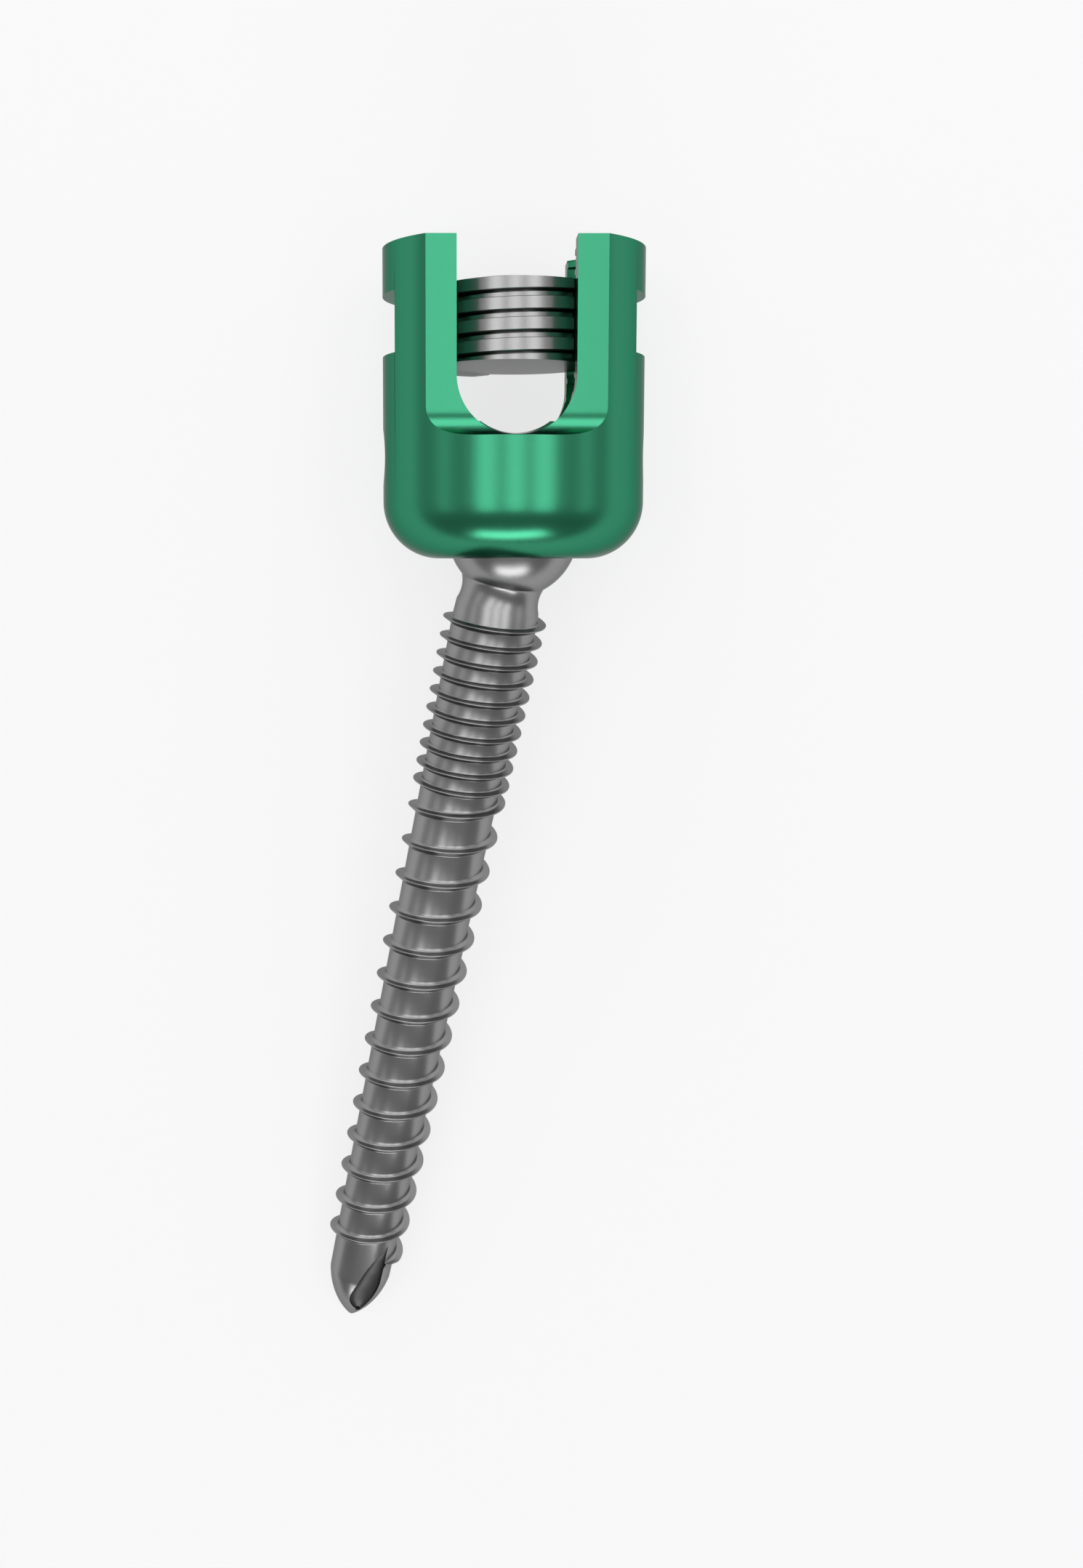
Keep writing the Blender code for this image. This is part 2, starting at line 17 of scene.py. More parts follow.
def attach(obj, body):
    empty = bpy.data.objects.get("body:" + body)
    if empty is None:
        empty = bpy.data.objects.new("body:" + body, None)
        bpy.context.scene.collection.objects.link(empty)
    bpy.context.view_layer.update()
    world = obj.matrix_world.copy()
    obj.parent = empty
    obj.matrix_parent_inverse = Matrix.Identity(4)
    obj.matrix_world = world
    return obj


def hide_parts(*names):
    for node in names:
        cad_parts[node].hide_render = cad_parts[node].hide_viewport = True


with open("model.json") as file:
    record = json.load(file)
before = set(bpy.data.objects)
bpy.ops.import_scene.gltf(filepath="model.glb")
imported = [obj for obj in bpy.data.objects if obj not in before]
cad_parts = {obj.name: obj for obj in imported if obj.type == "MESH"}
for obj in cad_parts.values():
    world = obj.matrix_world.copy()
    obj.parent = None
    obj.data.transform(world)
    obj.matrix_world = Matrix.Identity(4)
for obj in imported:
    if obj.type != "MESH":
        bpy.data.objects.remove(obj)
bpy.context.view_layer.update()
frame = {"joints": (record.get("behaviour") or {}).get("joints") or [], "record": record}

MM = 0.001
DEG = math.pi / 180

# Photograph, with the camera's clipping in metres
FRAME_WIDTH = 1490
FRAME_HEIGHT = 2157
FOCAL_PIXELS = 2545.75
CENTRE_X = 631.1
SENSOR = 36.0
CAMERA_PLACE = (-2.83, -97.57, -0.05)
CAMERA_PITCH = 6.92 * DEG
CAMERA_YAW = 0.355 * DEG
CLIP_START = 0.005
CLIP_END = 5.0

# Set screw
SET_CREST_RADIUS = 4.45
SET_CORE_RADIUS = 3.95
SET_PITCH = 1.00
SET_CREST_WIDTH = 0.63
SET_BOTTOM = 9.82
SET_LENGTH = 3.98
SET_PHASE = 0.69
SET_DRIVE_RADIUS = 2.20
SET_DRIVE_DEPTH = 2.80
SET_EDGE = 0.03
SET_UNDERCUT = 0.11
SET_UNDERCUT_RADIUS = 3.20
LIP_DEPTH = 0.17
LIP_START = 106 * DEG
LIP_SWEEP = 60 * DEG
LIP_SLANT = 0.30
LIP_FIRST = 0.10
LIP_RISE = 5.0
LIP_LEAST = 0.60
LIP_POINTS = 24

# Tulip
TULIP_RADIUS = 6.75
TULIP_HEIGHT = 15.70
TULIP_RIM = 0.63
FLAT_OFFSET = 5.05
LEDGE_HEIGHT = 5.95
LEDGE_FILLET = 1.50
CHANNEL_RADIUS = 2.96
CHANNEL_FLOOR = 6.02
NOTCH_DEPTH = 0.70
NOTCH_LOW = 10.25
NOTCH_HIGH = 13.30
SCALLOP_HEIGHT = 5.20
SCALLOP_DEPTH = 0.13
SCALLOP_LENGTH = 3.00
BORE_MINOR = 4.00
BORE_MAJOR = 4.50
BORE_STEP = 6.95
BORE_GROOVE = 0.73
SWAGE_REACH = 0.12

# Ball joint and crown
BALL_RADIUS = 3.42
BALL_HEIGHT = 1.38
BALL_FLAT_RADIUS = 2.22
BALL_DRIVE_RADIUS = 1.60
BALL_DRIVE_DEPTH = 2.40
SEAT_RADIUS = 3.50
CAVITY_RADIUS = 3.60
CROWN_RADIUS = 3.52
CROWN_SKIRT = 1.57
CROWN_TOP = 6.85
CROWN_RIM = 0.95
CROWN_HOLE_RADIUS = 1.70
CROWN_GROOVE_DEPTH = 0.30
CROWN_GROOVE_LENGTH = 1.40
SADDLE_RADIUS = 2.80
SADDLE_LIFT = 0.22

# Bone screw, measured down its axis from the middle of the ball
NECK_TOP = 2.60
NECK_TOP_RADIUS = 2.22
NECK_BOTTOM = 4.13
NECK_WAIST = 0.175
NECK_RINGS = 12
CORE_TOP_RADIUS = 2.27
CORE_END_RADIUS = 1.78
CORE_END = 44.95
CORE_END_RINGS = 6
NOSE_END = 47.95
NOSE_SWELL = 0.29
NOSE_TIP_RADIUS = 0.20
TIP_HOLE_RADIUS = 0.14
TIP_HOLE_DEPTH = 0.50
THREAD_HEIGHT = 0.47
THREAD_TIP = 0.04
THREAD_START = 4.286
THREAD_START_ANGLE = 90 * DEG
THREAD_RUN_IN = 0.25
THREAD_RUN_OUT = 0.08
FINE_PITCH = 1.016
FINE_TURNS = 10.25
COARSE_PITCH = 2.043
COARSE_TURNS = 14.15

# Thread sections: the upper root's offset and fillet, then the lower root's
FINE_THREAD = (0.05, 0.10, 0.27, 0.08)
COARSE_THREAD = (0.05, 0.22, 0.36, 0.12)

# Cutting flutes: the angles of their edges and the radius of their floor, each against the way down the screw
FLUTE_COUNT = 2
FLUTE_START = 42.34
FLUTE_END = 47.16
FLUTE_LEFT = (
    (42.34, -46.7), (42.78, -59.4), (43.36, -71.6), (43.9, -81.2), (44.47, -88.5), (44.93, -94.4),
    (45.48, -99.2), (45.91, -102.7), (46.23, -103.7), (46.56, -102.3), (46.78, -96.1), (47.02, -84.4),
)
FLUTE_RIGHT = ((42.34, -46.2), (44.7, -46.2), (45.57, -48.4), (45.99, -51.1), (46.54, -53.9), (47.14, -61.6))
FLUTE_LEFT_DEGREE = 5
FLUTE_RIGHT_DEGREE = 3
FLUTE_FLOOR = ((42.34, 1.81), (43.4, 1.42), (44.5, 1.18), (45.5, 1.02), (46.5, 0.90), (47.2, 0.78))
FLUTE_DEPTH = 0.55
FLUTE_SKEW = 1.25
FLUTE_LEAST = 0.6
FLUTE_POINTS = 17
FLUTE_SECTIONS = 72
FLUTE_REACH = 1.20
OIL_HOLE_RADIUS = 0.14
OIL_HOLE_DEPTH = 0.75
OIL_HOLE_PLACE = (47.20, -71 * DEG)

# Sockets
DRIVE_LOBES = 6
DRIVE_WAVE = 0.12

# Mesh density, and the small lengths that cutters and welds need
ROUND_STEPS = 256
SCALLOP_SIDES = 512
BALL_SIDES = 64
HOLE_SIDES = 48
ARC_POINTS = 24
THREAD_STEPS = 96
TIP_POINTS = 6
FOOT_POINTS = 5
DRIVE_POINTS = 144
MARGIN = 2.0
MERGE = 0.00001
TOUCH = 0.005
SHARP = 30 * DEG

# Looks, with linear colours, the grain's scale per millimetre and the floor's size in metres
GREEN = (0.041, 0.268, 0.147)
GREEN_RIM = (0.45, 0.42, 0.44)
GREEN_ROUGHNESS = 0.26
GREY = (0.30, 0.30, 0.30)
GREY_RIM = (0.48, 0.48, 0.48)
GREY_ROUGHNESS = 0.29
BRIGHT_ROUGHNESS = 0.26
# Flutes and their end holes: rougher from the milling, and their colour darkened as painted shade in these
# recesses
MILLED_SHADED = (0.085, 0.085, 0.085)
MILLED_ROUGHNESS = 0.42
ROUGHNESS_SPREAD = 0.08
GRAIN = 0.03
GRAIN_SCALE = 24.0
GRAIN_DETAIL = 4
GRAIN_LOW = 0.35
GRAIN_HIGH = 0.65
BUMP_STRENGTH = 0.02
BUMP_DISTANCE = 0.01
FLOOR_SIZE = 0.6
FLOOR_COLOUR = 0.75
FLOOR_ROUGHNESS = 0.9
FLOOR_WHITE_SHARE = 0.75
WORLD_LOW = 0.26
WORLD_HIGH = 0.48
WORLD_LOW_END = -0.60
WORLD_HIGH_END = -0.10

# Lamps, at one distance in metres: azimuth, elevation, width and height in degrees, then radiance
LAMP_DISTANCE = 0.45
LAMPS = {
    "key_front": (0, 5, 16, 56, 1.8),
    "key_left": (-25, 5, 18, 56, 1.8),
    "key_right": (25, 5, 18, 56, 1.8),
    "rim_left": (-64, 5, 13, 50, 0.5),
    "rim_right": (64, 5, 13, 50, 0.5),
    "top": (0, 70, 60, 34, 2.1),
    "low_front": (-7, -74, 44, 16, 4.0),
}


def joint(name):
    return next(j for j in frame["joints"] if j["name"] == name)


def mount(name):
    return next(m for m in frame["record"]["mounts"] if m["name"] == name)


def tulip_matrix():
    """From millimetres in the tulip's frame to metres in the part's, by the record's joint and mount."""
    turn = joint("crown_turn")
    up = Vector(turn["axis"]).normalized()
    back = -Vector(mount("front_flat")["axis"])
    back = (back - up * back.dot(up)).normalized()
    right = back.cross(up)
    base = Vector(turn["pos_m"]) - up * BALL_HEIGHT * MM
    return Matrix.Translation(base) @ Matrix((right, back, up)).transposed().to_4x4() @ Matrix.Scale(MM, 4)


def shank_matrix():
    """The bone screw's frame in the tulip's: Z up its axis from the ball's middle, X kept to the right."""
    tilt = joint("bone_screw_tilt")
    low, high = tilt["range_deg"]
    turn = Matrix.Rotation(-(low + high) / 2 * DEG, 3, TULIP.to_3x3().inverted() @ Vector(tilt["axis"]))
    up = turn @ Vector((0, 0, 1))
    right = (Vector((1, 0, 0)) - up * up.x).normalized()
    rows = Matrix((right, up.cross(right), up))
    return Matrix.Translation((0, 0, BALL_HEIGHT)) @ rows.transposed().to_4x4()


def arc(centre, radius, start, end, count=ARC_POINTS):
    angles = np.linspace(start, end, count)
    return [(centre[0] + radius * math.cos(a), centre[1] + radius * math.sin(a)) for a in angles]


def arc_through(start, end, sagitta):
    """Centre and radius of the arc whose middle stands off its chord by sagitta, to the right if positive."""
    ax, ay = start
    bx, by = end
    half = math.hypot(bx - ax, by - ay) / 2
    radius = (half * half + sagitta * sagitta) / (2 * abs(sagitta))
    offset = math.copysign(radius - abs(sagitta), sagitta) / (2 * half)
    return ((ax + bx) / 2 - (by - ay) * offset, (ay + by) / 2 + (bx - ax) * offset), radius


def bulged(start, end, sagitta, count):
    """Points along the arc that arc_through gives."""
    (cx, cy), radius = arc_through(start, end, sagitta)
    first = math.atan2(start[1] - cy, start[0] - cx)
    sweep = math.remainder(math.atan2(end[1] - cy, end[0] - cx) - first, 2 * math.pi)
    return arc((cx, cy), radius, first, first + sweep, count)


def mesh_object(name, work):
    mesh = bpy.data.meshes.new(name)
    work.to_mesh(mesh)
    work.free()
    ob = bpy.data.objects.new(name, mesh)
    bpy.context.scene.collection.objects.link(ob)
    return ob


def turned(name, profile, closed=True):
    """A solid of revolution about Z. A profile on the axis at both ends is left open."""
    mesh = bpy.data.meshes.new(name)
    edges = [(i, i + 1) for i in range(len(profile) - 1)]
    if closed:
        edges.append((len(profile) - 1, 0))
    mesh.from_pydata([(r, 0, z) for r, z in profile], edges, [])
    ob = bpy.data.objects.new(name, mesh)
    bpy.context.scene.collection.objects.link(ob)
    screw = ob.modifiers.new("turn", "SCREW")
    screw.steps = screw.render_steps = ROUND_STEPS
    screw.use_merge_vertices = True
    screw.merge_threshold = MERGE
    apply(ob)
    return ob


def apply(ob):
    """Applies the modifiers that the object has."""
    view = bpy.context.evaluated_depsgraph_get()
    mesh = bpy.data.meshes.new_from_object(ob.evaluated_get(view))
    ob.modifiers.clear()
    ob.data = mesh


def prism(name, outline, length, matrix):
    """A closed outline in the XY plane, extruded to both sides of it and then placed."""
    work = bmesh.new()
    low = [work.verts.new((x, y, -length / 2)) for x, y in outline]
    high = [work.verts.new((x, y, length / 2)) for x, y in outline]
    work.faces.new(low)
    work.faces.new(high)
    for i in range(len(outline)):
        j = (i + 1) % len(outline)
        work.faces.new((low[i], low[j], high[j], high[i]))
    bmesh.ops.recalc_face_normals(work, faces=work.faces)
    bmesh.ops.transform(work, matrix=matrix, verts=work.verts)
    return mesh_object(name, work)


def block(name, low, high):
    """A box between two corners."""
    work = bmesh.new()
    bmesh.ops.create_cube(work, size=1)
    size = Matrix.Diagonal((*(Vector(high) - Vector(low)), 1))
    middle = Matrix.Translation((Vector(high) + Vector(low)) / 2)
    bmesh.ops.transform(work, matrix=middle @ size, verts=work.verts)
    return mesh_object(name, work)


def rod(name, start, end, radius, sides=ROUND_STEPS):
    """A cylinder between two points."""
    start, end = Vector(start), Vector(end)
    turn = (end - start).to_track_quat("Z", "Y").to_matrix().to_4x4()
    shape = {"segments": sides, "radius1": radius, "radius2": radius, "depth": (end - start).length}
    work = bmesh.new()
    bmesh.ops.create_cone(work, cap_ends=True, matrix=Matrix.Translation((start + end) / 2) @ turn, **shape)
    return mesh_object(name, work)


def ball(name, centre, radius):
    shape = {"u_segments": BALL_SIDES, "v_segments": BALL_SIDES // 2, "radius": radius}
    work = bmesh.new()
    bmesh.ops.create_uvsphere(work, matrix=Matrix.Translation(centre), **shape)
    return mesh_object(name, work)


def combine(ob, other, operation="DIFFERENCE"):
    """A Boolean with another object, applied at once. The other object is used up."""
    change = ob.modifiers.new("cut", "BOOLEAN")
    change.operation = operation
    change.object = other
    change.material_mode = "TRANSFER"
    apply(ob)
    bpy.data.objects.remove(other, do_unlink=True)


def loft(name, sections):
    """A closed body through sections of as many points each, capped at both ends."""
    work = bmesh.new()
    rings = [[work.verts.new(point) for point in section] for section in sections]
    sides = len(rings[0])
    for near, far in zip(rings, rings[1:]):
        for i in range(sides):
            j = (i + 1) % sides
            work.faces.new((near[i], near[j], far[j], far[i]))
    work.faces.new(rings[0])
    work.faces.new(rings[-1])
    bmesh.ops.recalc_face_normals(work, faces=work.faces)
    return mesh_object(name, work)


def helical_ridge(name, stations):
    """A ridge through (angle, corners) sections, each corner a (radius, height)."""
    sections = []
    for angle, corners in stations:
        c, s = math.cos(angle), math.sin(angle)
        sections.append([(r * c, r * s, z) for r, z in corners])
    return loft(name, sections)


def drive_socket(radius, depth, top):
    """The cutter of a six-lobed screwdriver socket, down from the height of the face that it opens in."""
    wave = radius * DRIVE_WAVE
    outline = []
    for i in range(DRIVE_POINTS):
        angle = 2 * math.pi * i / DRIVE_POINTS
        reach = radius - wave + wave * math.cos(DRIVE_LOBES * angle)
        outline.append((reach * math.cos(angle), reach * math.sin(angle)))
    return prism("drive", outline, 2 * depth, Matrix.Translation((0, 0, top)))


def square_thread(name, radii, span, low, high, edge=0.0):
    """A square ridge along the set screw's thread between two heights.

    Radii and span give its section, from root to crest and from under to over the thread's middle. Edge
    breaks its outer corners.
    """
    inner, outer = radii
    under, over = span
    first, last = [(height - SET_BOTTOM - SET_PHASE) / SET_PITCH for height in (low, high)]
    count = math.ceil((last - first) * THREAD_STEPS)
    stations = []
    for turn in np.linspace(first, last, count + 1):
        z = SET_BOTTOM + SET_PHASE + turn * SET_PITCH
        rim = [(outer - edge, z + under), (outer - edge, z + over)]
        if edge:
            rim[1:1] = [(outer, z + under + edge), (outer, z + over - edge)]
        stations.append((2 * math.pi * turn - 90 * DEG, [(inner, z + under), *rim, (inner, z + over)]))
    return helical_ridge(name, stations)


def make_tulip():
    """Turns the body with its seat and cavity, then mills the sides, the flats, the channel and the thread.

    The swages are what is pressed in under the scallops to hold the crown.
    """
    seat = arc((0, BALL_HEIGHT), SEAT_RADIUS, math.asin(-BALL_HEIGHT / SEAT_RADIUS), 0)
    inside = [(CAVITY_RADIUS, BALL_HEIGHT), (CAVITY_RADIUS, BORE_STEP), (BORE_MINOR, BORE_STEP)]
    top = [(BORE_MINOR, TULIP_HEIGHT), (TULIP_RADIUS, TULIP_HEIGHT)]
    fillet = TULIP_RADIUS - seat[0][0] - TULIP_RIM
    base = arc((TULIP_RADIUS - fillet, fillet), fillet, 0, -90 * DEG)
    tulip = turned("tulip_body", seat + inside + top + base)
    out = TULIP_RADIUS + MARGIN
    scallop = (SCALLOP_LENGTH**2 / 4 + SCALLOP_DEPTH**2) / (2 * SCALLOP_DEPTH)
    swage = (TULIP_RADIUS - SCALLOP_DEPTH - CAVITY_RADIUS) / 2
    for side in (-1, 1):
        near, far = sorted((side * (TULIP_RADIUS - NOTCH_DEPTH), side * out))
        combine(tulip, block("notch", (near, -out, NOTCH_LOW), (far, out, NOTCH_HIGH)))
        x = side * (TULIP_RADIUS - SCALLOP_DEPTH + scallop)
        ends = [(x, y, SCALLOP_HEIGHT) for y in (-out, out)]
        combine(tulip, rod("scallop", *ends, scallop, SCALLOP_SIDES))
        x = side * (CAVITY_RADIUS + swage - SWAGE_REACH)
        combine(tulip, ball("swage", (x, 0, SCALLOP_HEIGHT), swage), "UNION")
        combine(tulip, flat_cutter(side))
    half = CHANNEL_RADIUS
    high = TULIP_HEIGHT + MARGIN
    bottom = arc((0, CHANNEL_FLOOR + half), half, 180 * DEG, 360 * DEG, 3 * ARC_POINTS)
    outline = [(-half, high)] + bottom + [(half, high)]
    upright = Matrix(((1, 0, 0, 0), (0, 0, -1, 0), (0, 1, 0, 0), (0, 0, 0, 1)))
    combine(tulip, prism("channel", outline, 2 * out, upright))
    span = (-BORE_GROOVE / 2, BORE_GROOVE / 2)
    thread = square_thread("thread", (CAVITY_RADIUS, BORE_MAJOR), span, BORE_STEP, TULIP_HEIGHT + SET_PITCH)
    combine(tulip, thread)
    return tulip


def flat_cutter(side):
    """Mills a flat that ends in a concave arc at the ledge. Side is -1 for the front, 1 for the back."""
    out = TULIP_RADIUS + MARGIN
    high = TULIP_HEIGHT + MARGIN
    middle = (side * (FLAT_OFFSET + LEDGE_FILLET), LEDGE_HEIGHT + LEDGE_FILLET)
    start = 90 * DEG - side * 90 * DEG
    inner = arc(middle, LEDGE_FILLET, start + 180 * DEG, 270 * DEG)
    outline = [(side * FLAT_OFFSET, high)] + inner + [(side * out, LEDGE_HEIGHT), (side * out, high)]
    upright = Matrix(((0, 0, 1, 0), (1, 0, 0, 0), (0, 1, 0, 0), (0, 0, 0, 1)))
    return prism("flat", outline, 2 * out, upright)


def make_crown():
    """Turns the cap that rests on the ball, with a side groove for the swages, and mills the rod's saddle."""
    groove = CROWN_RADIUS - CROWN_GROOVE_DEPTH
    top = CROWN_TOP - BALL_HEIGHT
    high = top - CROWN_RIM
    low = high - CROWN_GROOVE_LENGTH
    start, end = math.asin(CROWN_SKIRT / SEAT_RADIUS), math.acos(CROWN_HOLE_RADIUS / SEAT_RADIUS)
    under = arc((0, 0), SEAT_RADIUS, start, end)
    side = [(CROWN_RADIUS, top), (CROWN_RADIUS, high), (groove, high), (groove, low), (CROWN_RADIUS, low)]
    profile = under + [(CROWN_HOLE_RADIUS, top)] + side + [(CROWN_RADIUS, CROWN_SKIRT)]
    crown = turned("crown_cap", [(r, z + BALL_HEIGHT) for r, z in profile])
    z = CHANNEL_FLOOR + SADDLE_LIFT + SADDLE_RADIUS
    combine(crown, rod("saddle", (0, -TULIP_RADIUS, z), (0, TULIP_RADIUS, z), SADDLE_RADIUS))
    return crown


def make_set_screw():
    """Builds the thread past both ends, trims it to length, then adds the socket and the run-out."""
    high, low = SET_BOTTOM + SET_LENGTH, SET_BOTTOM
    over = SET_PITCH
    core = SET_CORE_RADIUS
    profile = [(0, high + over), (core, high + over), (core, low - over), (0, low - over)]
    screw = turned("set_screw_body", profile, closed=False)
    half = SET_CREST_WIDTH / 2
    slot = (SET_UNDERCUT_RADIUS, core + SET_EDGE)
    start = low + half + SET_UNDERCUT + SET_EDGE
    end = high + half - SET_UNDERCUT - SET_EDGE
    undercut = square_thread("undercut", slot, (-half - SET_UNDERCUT, -half + SET_EDGE), start, end)
    combine(screw, undercut)
    crest = (core - SET_PITCH / 4, SET_CREST_RADIUS)
    start = low + SET_PHASE + SET_PITCH * (LIP_START / DEG - 270) / 360
    combine(screw, square_thread("thread", crest, (-half, half), start, high + over, SET_EDGE), "UNION")
    reach = SET_CREST_RADIUS + MARGIN
    combine(screw, block("trim", (-reach, -reach, low), (reach, reach, high)), "INTERSECT")
    combine(screw, drive_socket(SET_DRIVE_RADIUS, SET_DRIVE_DEPTH, high))
    combine(screw, run_out(), "UNION")
    return screw


def run_out():
    """The lip in which the set screw's thread ends below its flat bottom."""
    inner, outer = SET_CORE_RADIUS - LIP_SLANT, SET_CREST_RADIUS - TOUCH
    high = SET_BOTTOM + SET_CREST_WIDTH / 2
    stations = []
    for share in np.linspace(0, 1, LIP_POINTS):
        depth = LIP_DEPTH * min(1.0, LIP_FIRST + share * LIP_RISE) * (LIP_LEAST + (1 - LIP_LEAST) * share)
        corners = [(inner, SET_BOTTOM + TOUCH), (outer, SET_BOTTOM - depth), (outer, high), (inner, high)]
        stations.append((LIP_START + LIP_SWEEP * share, corners))
    return helical_ridge("run_out", stations)


def shank_radius(s):
    """The bone screw's radius without its thread, under the crease between ball and neck."""
    if s < NECK_BOTTOM:
        crease, end = (NECK_TOP_RADIUS, -NECK_TOP), (CORE_TOP_RADIUS, -NECK_BOTTOM)
        centre, radius = arc_through(crease, end, NECK_WAIST)
        return centre[0] - math.sqrt(radius**2 - (centre[1] + s) ** 2)
    share = (s - NECK_BOTTOM) / (CORE_END - NECK_BOTTOM)
    return CORE_TOP_RADIUS + (CORE_END_RADIUS - CORE_TOP_RADIUS) * share


def thread_flank(root, fillet):
    """Half of the bone thread's section: half of its round tip, the flank and the filleted root."""
    middle = THREAD_HEIGHT - THREAD_TIP
    lean = math.atan2(middle, -root) - math.asin(THREAD_TIP / math.hypot(middle, root))
    along, out = Vector((math.cos(lean), math.sin(lean))), Vector((math.sin(lean), -math.cos(lean)))
    tip = arc((0, middle), THREAD_TIP, 90 * DEG, lean - 90 * DEG, TIP_POINTS)
    centre = Vector((root, 0)) + (out + along * (1 - out.y) / along.y) * fillet
    return tip + arc(centre, fillet, lean + 90 * DEG, 270 * DEG, FOOT_POINTS)


def thread_shape(share):
    """The bone thread's (offset, rise) from upper to lower root. Share goes from fine to coarse."""
    upper_root, upper_fillet, lower_root, lower_fillet = (
        fine + (coarse - fine) * share for fine, coarse in zip(FINE_THREAD, COARSE_THREAD))
    upper, lower = thread_flank(upper_root, upper_fillet), thread_flank(lower_root, lower_fillet)
    return [(-offset, rise) for offset, rise in reversed(upper[1:])] + lower


def shank_stations():
    """The bone thread's sections along the screw, each a row of (radius, s)."""
    turns = FINE_TURNS + COARSE_TURNS
    stations = []
    for i in range(round(turns * THREAD_STEPS) + 1):
        turn = i / THREAD_STEPS
        coarse = max(0.0, turn - FINE_TURNS)
        s = THREAD_START + (turn - coarse) * FINE_PITCH + coarse * COARSE_PITCH
        height = max(0.0, min(1.0, turn / THREAD_RUN_IN, (turns - turn) / THREAD_RUN_OUT))
        shape = thread_shape(min(1.0, coarse / THREAD_RUN_IN))
        section = [(shank_radius(s + offset) + rise * height, s + offset) for offset, rise in shape]
        stations.append(section)
    return stations


def shank_rings(first, last):
    """The (radius, s) of the round sections above the thread and below it."""
    high, low = math.acos(BALL_FLAT_RADIUS / BALL_RADIUS), -math.asin(NECK_TOP / BALL_RADIUS)
    above = [(r, -z) for r, z in arc((0, 0), BALL_RADIUS, high, low, 3 * ARC_POINTS)]
    for s in np.linspace(NECK_TOP, first, NECK_RINGS)[1:-1]:
        above.append((shank_radius(s), s))
    nose = bulged((CORE_END_RADIUS, -CORE_END), (NOSE_TIP_RADIUS, -NOSE_END), -NOSE_SWELL, 2 * ARC_POINTS)
    below = [(shank_radius(s), s) for s in np.linspace(last, CORE_END, CORE_END_RINGS)[1:-1]]
    below += [(r, -z) for r, z in nose]
    return above, below + [(TIP_HOLE_RADIUS, NOSE_END), (TIP_HOLE_RADIUS, NOSE_END - TIP_HOLE_DEPTH)]


def shank_skin():
    """Lofts ball, neck, threaded core and nose as one closed skin.

    Ball, neck and nose are rings. The thread is a bundle of helical lines, stitched turn to turn along its
    roots.
    """
    work = bmesh.new()
    steps = THREAD_STEPS

    def row(points):
        verts = []
        for i, (r, s) in enumerate(points):
            angle = THREAD_START_ANGLE - 2 * math.pi * i / steps
            verts.append(work.verts.new((r * math.cos(angle), r * math.sin(angle), -s)))
        return verts

    stations = shank_stations()
    count = len(stations) - 1
    above, below = shank_rings(stations[0][0][1], stations[-1][-1][1])
    rings = [[row([point] * steps) for point in part] for part in (above, below)]
    for group in rings:
        for upper, lower in zip(group, group[1:]):
            for i in range(steps):
                j = (i + 1) % steps
                work.faces.new((upper[i], upper[j], lower[j], lower[i]))
    work.faces.new(rings[0][0])
    work.faces.new(rings[1][-1])

    lines = [row([station[k] for station in stations]) for k in range(len(stations[0]))]
    for upper, lower in zip(lines, lines[1:]):
        for i in range(count):
            work.faces.new((upper[i], upper[i + 1], lower[i + 1], lower[i]))
    root_above, root_below = lines[0], lines[-1]
    for i in range(count - steps):
        j = i + steps
        work.faces.new((root_below[i], root_below[i + 1], root_above[j + 1], root_above[j]))

    top, bottom = rings[0][-1], rings[1][0]
    for i in range(steps - 1):
        work.faces.new((top[i], top[i + 1], root_above[i + 1], root_above[i]))
    begin = [line[0] for line in lines]
    work.faces.new((top[-1], top[0], *begin, root_above[steps], root_above[steps - 1]))
    for i in range(count - steps + 1, count):
        near, far = bottom[i % steps], bottom[(i + 1) % steps]
        work.faces.new((root_below[i], root_below[i + 1], far, near))
    end = [line[-1] for line in lines]
    i = count - steps
    near, far = bottom[i % steps], bottom[(i + 1) % steps]
    work.faces.new((root_below[i], *end, near, far, root_below[i + 1]))
    bmesh.ops.triangulate(work, faces=work.faces)
    bmesh.ops.recalc_face_normals(work, faces=work.faces)
    return mesh_object("bone_screw_body", work)


def make_bone_screw(finish, shaded_cut_finish):
    """Mills the flutes with their end holes and the socket into the lofted screw. Flutes and holes get the
    cut finish, whose dark colour is painted shade.
    """
    screw = shank_skin()
    screw.data.materials.append(finish)
    for i in range(FLUTE_COUNT):
        around = 2 * math.pi * i / FLUTE_COUNT
        for cutter in (flute_cutter(around), oil_hole(around)):
            # The cut faces get the darker finish, whose colour is painted shade in the flutes and holes
            cutter.data.materials.append(shaded_cut_finish)
            combine(screw, cutter)
    top = math.sqrt(BALL_RADIUS**2 - BALL_FLAT_RADIUS**2)
    drive = drive_socket(BALL_DRIVE_RADIUS, BALL_DRIVE_DEPTH, top)
    drive.data.materials.append(finish)
    combine(screw, drive)
    screw.data.transform(SHANK)
    return screw


def nose_radius(s):
    """The bone screw's radius under its thread, nose included."""
    if s < CORE_END:
        return shank_radius(s)
    centre, radius = arc_through((CORE_END_RADIUS, -CORE_END), (NOSE_TIP_RADIUS, -NOSE_END), -NOSE_SWELL)
    return centre[0] + math.sqrt(max(0.0, radius**2 - (centre[1] + s) ** 2))


